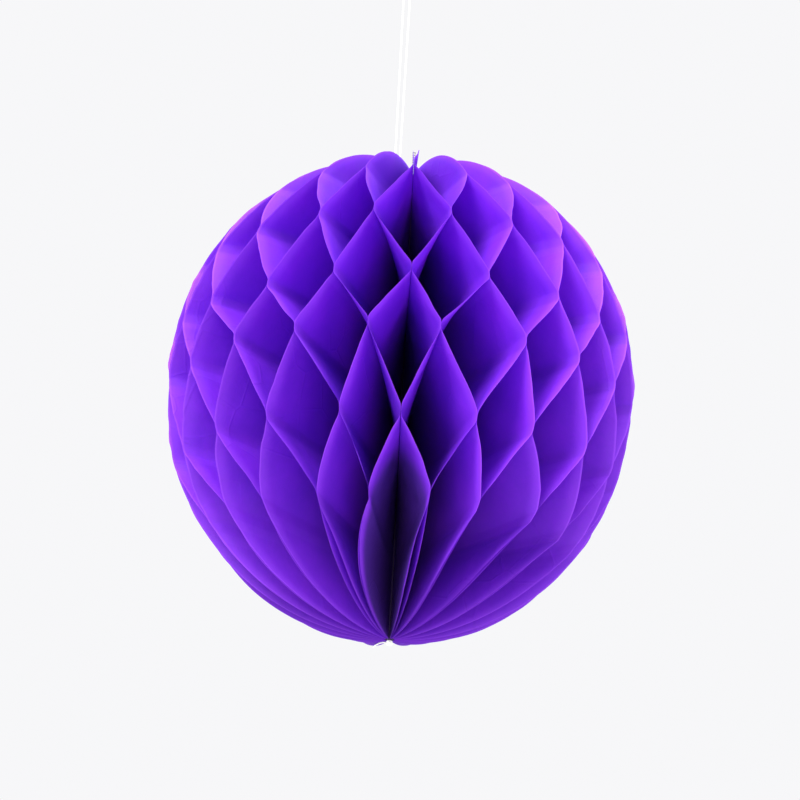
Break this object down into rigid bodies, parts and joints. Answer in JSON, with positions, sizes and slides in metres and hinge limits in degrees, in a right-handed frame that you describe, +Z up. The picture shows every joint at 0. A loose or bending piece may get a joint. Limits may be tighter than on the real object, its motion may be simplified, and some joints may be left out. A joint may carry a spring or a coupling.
{
  "type": "paper honeycomb ball",
  "caption": "Hanging tissue honeycomb ball: leaves fanned round a bound spine between two cover cards, with a thread loop; it folds shut like a book.",
  "frame": {"origin": "inner crown of the hanging loop, where a hook or pin carries it; the ball hangs below", "axes": "+Z up along the thread and the spine, +Y towards the seam where the two cover cards lie back to back, +X across the seam"},
  "size_m": [0.2, 0.1994, 0.3253],
  "materials": {
    "tissue": "thin dyed tissue, violet",
    "greyboard": "bare grey board",
    "pad": "double-sided adhesive pad",
    "binding": "glued and wound core",
    "thread": "white twisted thread"
  },
  "bodies": {
    "hanging_card": {"cover_card_fixed": "greyboard", "bond_pad_upper": "pad", "bond_pad_middle": "pad", "bond_pad_lower": "pad", "spine_binding": "binding", "spine_knot": "thread", "spine_thread_tail": "thread", "thread_knot": "thread", "hanging_thread": "thread"},
    "swinging_card": {"cover_card_swinging": "greyboard"},
    "leaf_01": {"tissue_leaf_01": "tissue"},
    "leaf_02": {"tissue_leaf_02": "tissue"},
    "leaf_03": {"tissue_leaf_03": "tissue"},
    "leaf_04": {"tissue_leaf_04": "tissue"},
    "leaf_05": {"tissue_leaf_05": "tissue"},
    "leaf_06": {"tissue_leaf_06": "tissue"},
    "leaf_07": {"tissue_leaf_07": "tissue"},
    "leaf_08": {"tissue_leaf_08": "tissue"},
    "leaf_09": {"tissue_leaf_09": "tissue"},
    "leaf_10": {"tissue_leaf_10": "tissue"},
    "leaf_11": {"tissue_leaf_11": "tissue"},
    "leaf_12": {"tissue_leaf_12": "tissue"},
    "leaf_13": {"tissue_leaf_13": "tissue"},
    "leaf_14": {"tissue_leaf_14": "tissue"},
    "leaf_15": {"tissue_leaf_15": "tissue"},
    "leaf_16": {"tissue_leaf_16": "tissue"},
    "leaf_17": {"tissue_leaf_17": "tissue"},
    "leaf_18": {"tissue_leaf_18": "tissue"},
    "leaf_19": {"tissue_leaf_19": "tissue"},
    "leaf_20": {"tissue_leaf_20": "tissue"},
    "leaf_21": {"tissue_leaf_21": "tissue"},
    "leaf_22": {"tissue_leaf_22": "tissue"},
    "leaf_23": {"tissue_leaf_23": "tissue"},
    "leaf_24": {"tissue_leaf_24": "tissue"},
    "leaf_25": {"tissue_leaf_25": "tissue"},
    "leaf_26": {"tissue_leaf_26": "tissue"},
    "leaf_27": {"tissue_leaf_27": "tissue"},
    "leaf_28": {"tissue_leaf_28": "tissue"},
    "leaf_29": {"tissue_leaf_29": "tissue"},
    "leaf_30": {"tissue_leaf_30": "tissue"},
    "leaf_31": {"tissue_leaf_31": "tissue"},
    "leaf_32": {"tissue_leaf_32": "tissue"},
    "leaf_33": {"tissue_leaf_33": "tissue"},
    "leaf_34": {"tissue_leaf_34": "tissue"},
    "leaf_35": {"tissue_leaf_35": "tissue"},
    "leaf_36": {"tissue_leaf_36": "tissue"},
    "leaf_37": {"tissue_leaf_37": "tissue"},
    "leaf_38": {"tissue_leaf_38": "tissue"},
    "leaf_39": {"tissue_leaf_39": "tissue"},
    "leaf_40": {"tissue_leaf_40": "tissue"},
    "leaf_41": {"tissue_leaf_41": "tissue"},
    "leaf_42": {"tissue_leaf_42": "tissue"}
  },
  "joints": [
    {"name": "cover_swing", "type": "hinge", "parent": "hanging_card", "child": "swinging_card", "pos_m": [0, -0.016, 0], "axis": [0, 0, 1], "range_deg": [-346, 0]},
    {"name": "leaf_turn_01", "type": "hinge", "parent": "hanging_card", "child": "leaf_01", "pos_m": [0, -0.016, 0], "axis": [0, 0, 1], "range_deg": [-0.748, 0]},
    {"name": "leaf_turn_02", "type": "hinge", "parent": "hanging_card", "child": "leaf_02", "pos_m": [0, -0.016, 0], "axis": [0, 0, 1], "range_deg": [-9.15, 0]},
    {"name": "leaf_turn_03", "type": "hinge", "parent": "hanging_card", "child": "leaf_03", "pos_m": [0, -0.016, 0], "axis": [0, 0, 1], "range_deg": [-17.56, 0]},
    {"name": "leaf_turn_04", "type": "hinge", "parent": "hanging_card", "child": "leaf_04", "pos_m": [0, -0.016, 0], "axis": [0, 0, 1], "range_deg": [-25.96, 0]},
    {"name": "leaf_turn_05", "type": "hinge", "parent": "hanging_card", "child": "leaf_05", "pos_m": [0, -0.016, 0], "axis": [0, 0, 1], "range_deg": [-34.37, 0]},
    {"name": "leaf_turn_06", "type": "hinge", "parent": "hanging_card", "child": "leaf_06", "pos_m": [0, -0.016, 0], "axis": [0, 0, 1], "range_deg": [-42.77, 0]},
    {"name": "leaf_turn_07", "type": "hinge", "parent": "hanging_card", "child": "leaf_07", "pos_m": [0, -0.016, 0], "axis": [0, 0, 1], "range_deg": [-51.18, 0]},
    {"name": "leaf_turn_08", "type": "hinge", "parent": "hanging_card", "child": "leaf_08", "pos_m": [0, -0.016, 0], "axis": [0, 0, 1], "range_deg": [-59.58, 0]},
    {"name": "leaf_turn_09", "type": "hinge", "parent": "hanging_card", "child": "leaf_09", "pos_m": [0, -0.016, 0], "axis": [0, 0, 1], "range_deg": [-67.99, 0]},
    {"name": "leaf_turn_10", "type": "hinge", "parent": "hanging_card", "child": "leaf_10", "pos_m": [0, -0.016, 0], "axis": [0, 0, 1], "range_deg": [-76.39, 0]},
    {"name": "leaf_turn_11", "type": "hinge", "parent": "hanging_card", "child": "leaf_11", "pos_m": [0, -0.016, 0], "axis": [0, 0, 1], "range_deg": [-84.8, 0]},
    {"name": "leaf_turn_12", "type": "hinge", "parent": "hanging_card", "child": "leaf_12", "pos_m": [0, -0.016, 0], "axis": [0, 0, 1], "range_deg": [-93.2, 0]},
    {"name": "leaf_turn_13", "type": "hinge", "parent": "hanging_card", "child": "leaf_13", "pos_m": [0, -0.016, 0], "axis": [0, 0, 1], "range_deg": [-101.61, 0]},
    {"name": "leaf_turn_14", "type": "hinge", "parent": "hanging_card", "child": "leaf_14", "pos_m": [0, -0.016, 0], "axis": [0, 0, 1], "range_deg": [-110.01, 0]},
    {"name": "leaf_turn_15", "type": "hinge", "parent": "hanging_card", "child": "leaf_15", "pos_m": [0, -0.016, 0], "axis": [0, 0, 1], "range_deg": [-118.42, 0]},
    {"name": "leaf_turn_16", "type": "hinge", "parent": "hanging_card", "child": "leaf_16", "pos_m": [0, -0.016, 0], "axis": [0, 0, 1], "range_deg": [-126.82, 0]},
    {"name": "leaf_turn_17", "type": "hinge", "parent": "hanging_card", "child": "leaf_17", "pos_m": [0, -0.016, 0], "axis": [0, 0, 1], "range_deg": [-135.23, 0]},
    {"name": "leaf_turn_18", "type": "hinge", "parent": "hanging_card", "child": "leaf_18", "pos_m": [0, -0.016, 0], "axis": [0, 0, 1], "range_deg": [-143.63, 0]},
    {"name": "leaf_turn_19", "type": "hinge", "parent": "hanging_card", "child": "leaf_19", "pos_m": [0, -0.016, 0], "axis": [0, 0, 1], "range_deg": [-152.04, 0]},
    {"name": "leaf_turn_20", "type": "hinge", "parent": "hanging_card", "child": "leaf_20", "pos_m": [0, -0.016, 0], "axis": [0, 0, 1], "range_deg": [-160.44, 0]},
    {"name": "leaf_turn_21", "type": "hinge", "parent": "hanging_card", "child": "leaf_21", "pos_m": [0, -0.016, 0], "axis": [0, 0, 1], "range_deg": [-168.85, 0]},
    {"name": "leaf_turn_22", "type": "hinge", "parent": "hanging_card", "child": "leaf_22", "pos_m": [0, -0.016, 0], "axis": [0, 0, 1], "range_deg": [-177.25, 0]},
    {"name": "leaf_turn_23", "type": "hinge", "parent": "hanging_card", "child": "leaf_23", "pos_m": [0, -0.016, 0], "axis": [0, 0, 1], "range_deg": [-185.66, 0]},
    {"name": "leaf_turn_24", "type": "hinge", "parent": "hanging_card", "child": "leaf_24", "pos_m": [0, -0.016, 0], "axis": [0, 0, 1], "range_deg": [-194.06, 0]},
    {"name": "leaf_turn_25", "type": "hinge", "parent": "hanging_card", "child": "leaf_25", "pos_m": [0, -0.016, 0], "axis": [0, 0, 1], "range_deg": [-202.47, 0]},
    {"name": "leaf_turn_26", "type": "hinge", "parent": "hanging_card", "child": "leaf_26", "pos_m": [0, -0.016, 0], "axis": [0, 0, 1], "range_deg": [-210.87, 0]},
    {"name": "leaf_turn_27", "type": "hinge", "parent": "hanging_card", "child": "leaf_27", "pos_m": [0, -0.016, 0], "axis": [0, 0, 1], "range_deg": [-219.28, 0]},
    {"name": "leaf_turn_28", "type": "hinge", "parent": "hanging_card", "child": "leaf_28", "pos_m": [0, -0.016, 0], "axis": [0, 0, 1], "range_deg": [-227.68, 0]},
    {"name": "leaf_turn_29", "type": "hinge", "parent": "hanging_card", "child": "leaf_29", "pos_m": [0, -0.016, 0], "axis": [0, 0, 1], "range_deg": [-236.09, 0]},
    {"name": "leaf_turn_30", "type": "hinge", "parent": "hanging_card", "child": "leaf_30", "pos_m": [0, -0.016, 0], "axis": [0, 0, 1], "range_deg": [-244.49, 0]},
    {"name": "leaf_turn_31", "type": "hinge", "parent": "hanging_card", "child": "leaf_31", "pos_m": [0, -0.016, 0], "axis": [0, 0, 1], "range_deg": [-252.9, 0]},
    {"name": "leaf_turn_32", "type": "hinge", "parent": "hanging_card", "child": "leaf_32", "pos_m": [0, -0.016, 0], "axis": [0, 0, 1], "range_deg": [-261.3, 0]},
    {"name": "leaf_turn_33", "type": "hinge", "parent": "hanging_card", "child": "leaf_33", "pos_m": [0, -0.016, 0], "axis": [0, 0, 1], "range_deg": [-269.71, 0]},
    {"name": "leaf_turn_34", "type": "hinge", "parent": "hanging_card", "child": "leaf_34", "pos_m": [0, -0.016, 0], "axis": [0, 0, 1], "range_deg": [-278.11, 0]},
    {"name": "leaf_turn_35", "type": "hinge", "parent": "hanging_card", "child": "leaf_35", "pos_m": [0, -0.016, 0], "axis": [0, 0, 1], "range_deg": [-286.52, 0]},
    {"name": "leaf_turn_36", "type": "hinge", "parent": "hanging_card", "child": "leaf_36", "pos_m": [0, -0.016, 0], "axis": [0, 0, 1], "range_deg": [-294.92, 0]},
    {"name": "leaf_turn_37", "type": "hinge", "parent": "hanging_card", "child": "leaf_37", "pos_m": [0, -0.016, 0], "axis": [0, 0, 1], "range_deg": [-303.33, 0]},
    {"name": "leaf_turn_38", "type": "hinge", "parent": "hanging_card", "child": "leaf_38", "pos_m": [0, -0.016, 0], "axis": [0, 0, 1], "range_deg": [-311.73, 0]},
    {"name": "leaf_turn_39", "type": "hinge", "parent": "hanging_card", "child": "leaf_39", "pos_m": [0, -0.016, 0], "axis": [0, 0, 1], "range_deg": [-320.14, 0]},
    {"name": "leaf_turn_40", "type": "hinge", "parent": "hanging_card", "child": "leaf_40", "pos_m": [0, -0.016, 0], "axis": [0, 0, 1], "range_deg": [-328.54, 0]},
    {"name": "leaf_turn_41", "type": "hinge", "parent": "hanging_card", "child": "leaf_41", "pos_m": [0, -0.016, 0], "axis": [0, 0, 1], "range_deg": [-336.95, 0]},
    {"name": "leaf_turn_42", "type": "hinge", "parent": "hanging_card", "child": "leaf_42", "pos_m": [0, -0.016, 0], "axis": [0, 0, 1], "range_deg": [-345.35, 0]}
  ],
  "couplings": [
    {"joint": "leaf_turn_01", "follows": "cover_swing", "ratio": 0.002018},
    {"joint": "leaf_turn_02", "follows": "cover_swing", "ratio": 0.02631},
    {"joint": "leaf_turn_03", "follows": "cover_swing", "ratio": 0.050602},
    {"joint": "leaf_turn_04", "follows": "cover_swing", "ratio": 0.074894},
    {"joint": "leaf_turn_05", "follows": "cover_swing", "ratio": 0.099185},
    {"joint": "leaf_turn_06", "follows": "cover_swing", "ratio": 0.12348},
    {"joint": "leaf_turn_07", "follows": "cover_swing", "ratio": 0.14777},
    {"joint": "leaf_turn_08", "follows": "cover_swing", "ratio": 0.17206},
    {"joint": "leaf_turn_09", "follows": "cover_swing", "ratio": 0.19635},
    {"joint": "leaf_turn_10", "follows": "cover_swing", "ratio": 0.22064},
    {"joint": "leaf_turn_11", "follows": "cover_swing", "ratio": 0.24494},
    {"joint": "leaf_turn_12", "follows": "cover_swing", "ratio": 0.26923},
    {"joint": "leaf_turn_13", "follows": "cover_swing", "ratio": 0.29352},
    {"joint": "leaf_turn_14", "follows": "cover_swing", "ratio": 0.31781},
    {"joint": "leaf_turn_15", "follows": "cover_swing", "ratio": 0.3421},
    {"joint": "leaf_turn_16", "follows": "cover_swing", "ratio": 0.3664},
    {"joint": "leaf_turn_17", "follows": "cover_swing", "ratio": 0.39069},
    {"joint": "leaf_turn_18", "follows": "cover_swing", "ratio": 0.41498},
    {"joint": "leaf_turn_19", "follows": "cover_swing", "ratio": 0.43927},
    {"joint": "leaf_turn_20", "follows": "cover_swing", "ratio": 0.46356},
    {"joint": "leaf_turn_21", "follows": "cover_swing", "ratio": 0.48785},
    {"joint": "leaf_turn_22", "follows": "cover_swing", "ratio": 0.51215},
    {"joint": "leaf_turn_23", "follows": "cover_swing", "ratio": 0.53644},
    {"joint": "leaf_turn_24", "follows": "cover_swing", "ratio": 0.56073},
    {"joint": "leaf_turn_25", "follows": "cover_swing", "ratio": 0.58502},
    {"joint": "leaf_turn_26", "follows": "cover_swing", "ratio": 0.60931},
    {"joint": "leaf_turn_27", "follows": "cover_swing", "ratio": 0.6336},
    {"joint": "leaf_turn_28", "follows": "cover_swing", "ratio": 0.6579},
    {"joint": "leaf_turn_29", "follows": "cover_swing", "ratio": 0.68219},
    {"joint": "leaf_turn_30", "follows": "cover_swing", "ratio": 0.70648},
    {"joint": "leaf_turn_31", "follows": "cover_swing", "ratio": 0.73077},
    {"joint": "leaf_turn_32", "follows": "cover_swing", "ratio": 0.75506},
    {"joint": "leaf_turn_33", "follows": "cover_swing", "ratio": 0.77936},
    {"joint": "leaf_turn_34", "follows": "cover_swing", "ratio": 0.80365},
    {"joint": "leaf_turn_35", "follows": "cover_swing", "ratio": 0.82794},
    {"joint": "leaf_turn_36", "follows": "cover_swing", "ratio": 0.85223},
    {"joint": "leaf_turn_37", "follows": "cover_swing", "ratio": 0.87652},
    {"joint": "leaf_turn_38", "follows": "cover_swing", "ratio": 0.90082},
    {"joint": "leaf_turn_39", "follows": "cover_swing", "ratio": 0.92511},
    {"joint": "leaf_turn_40", "follows": "cover_swing", "ratio": 0.9494},
    {"joint": "leaf_turn_41", "follows": "cover_swing", "ratio": 0.97369},
    {"joint": "leaf_turn_42", "follows": "cover_swing", "ratio": 0.99798}
  ]
}
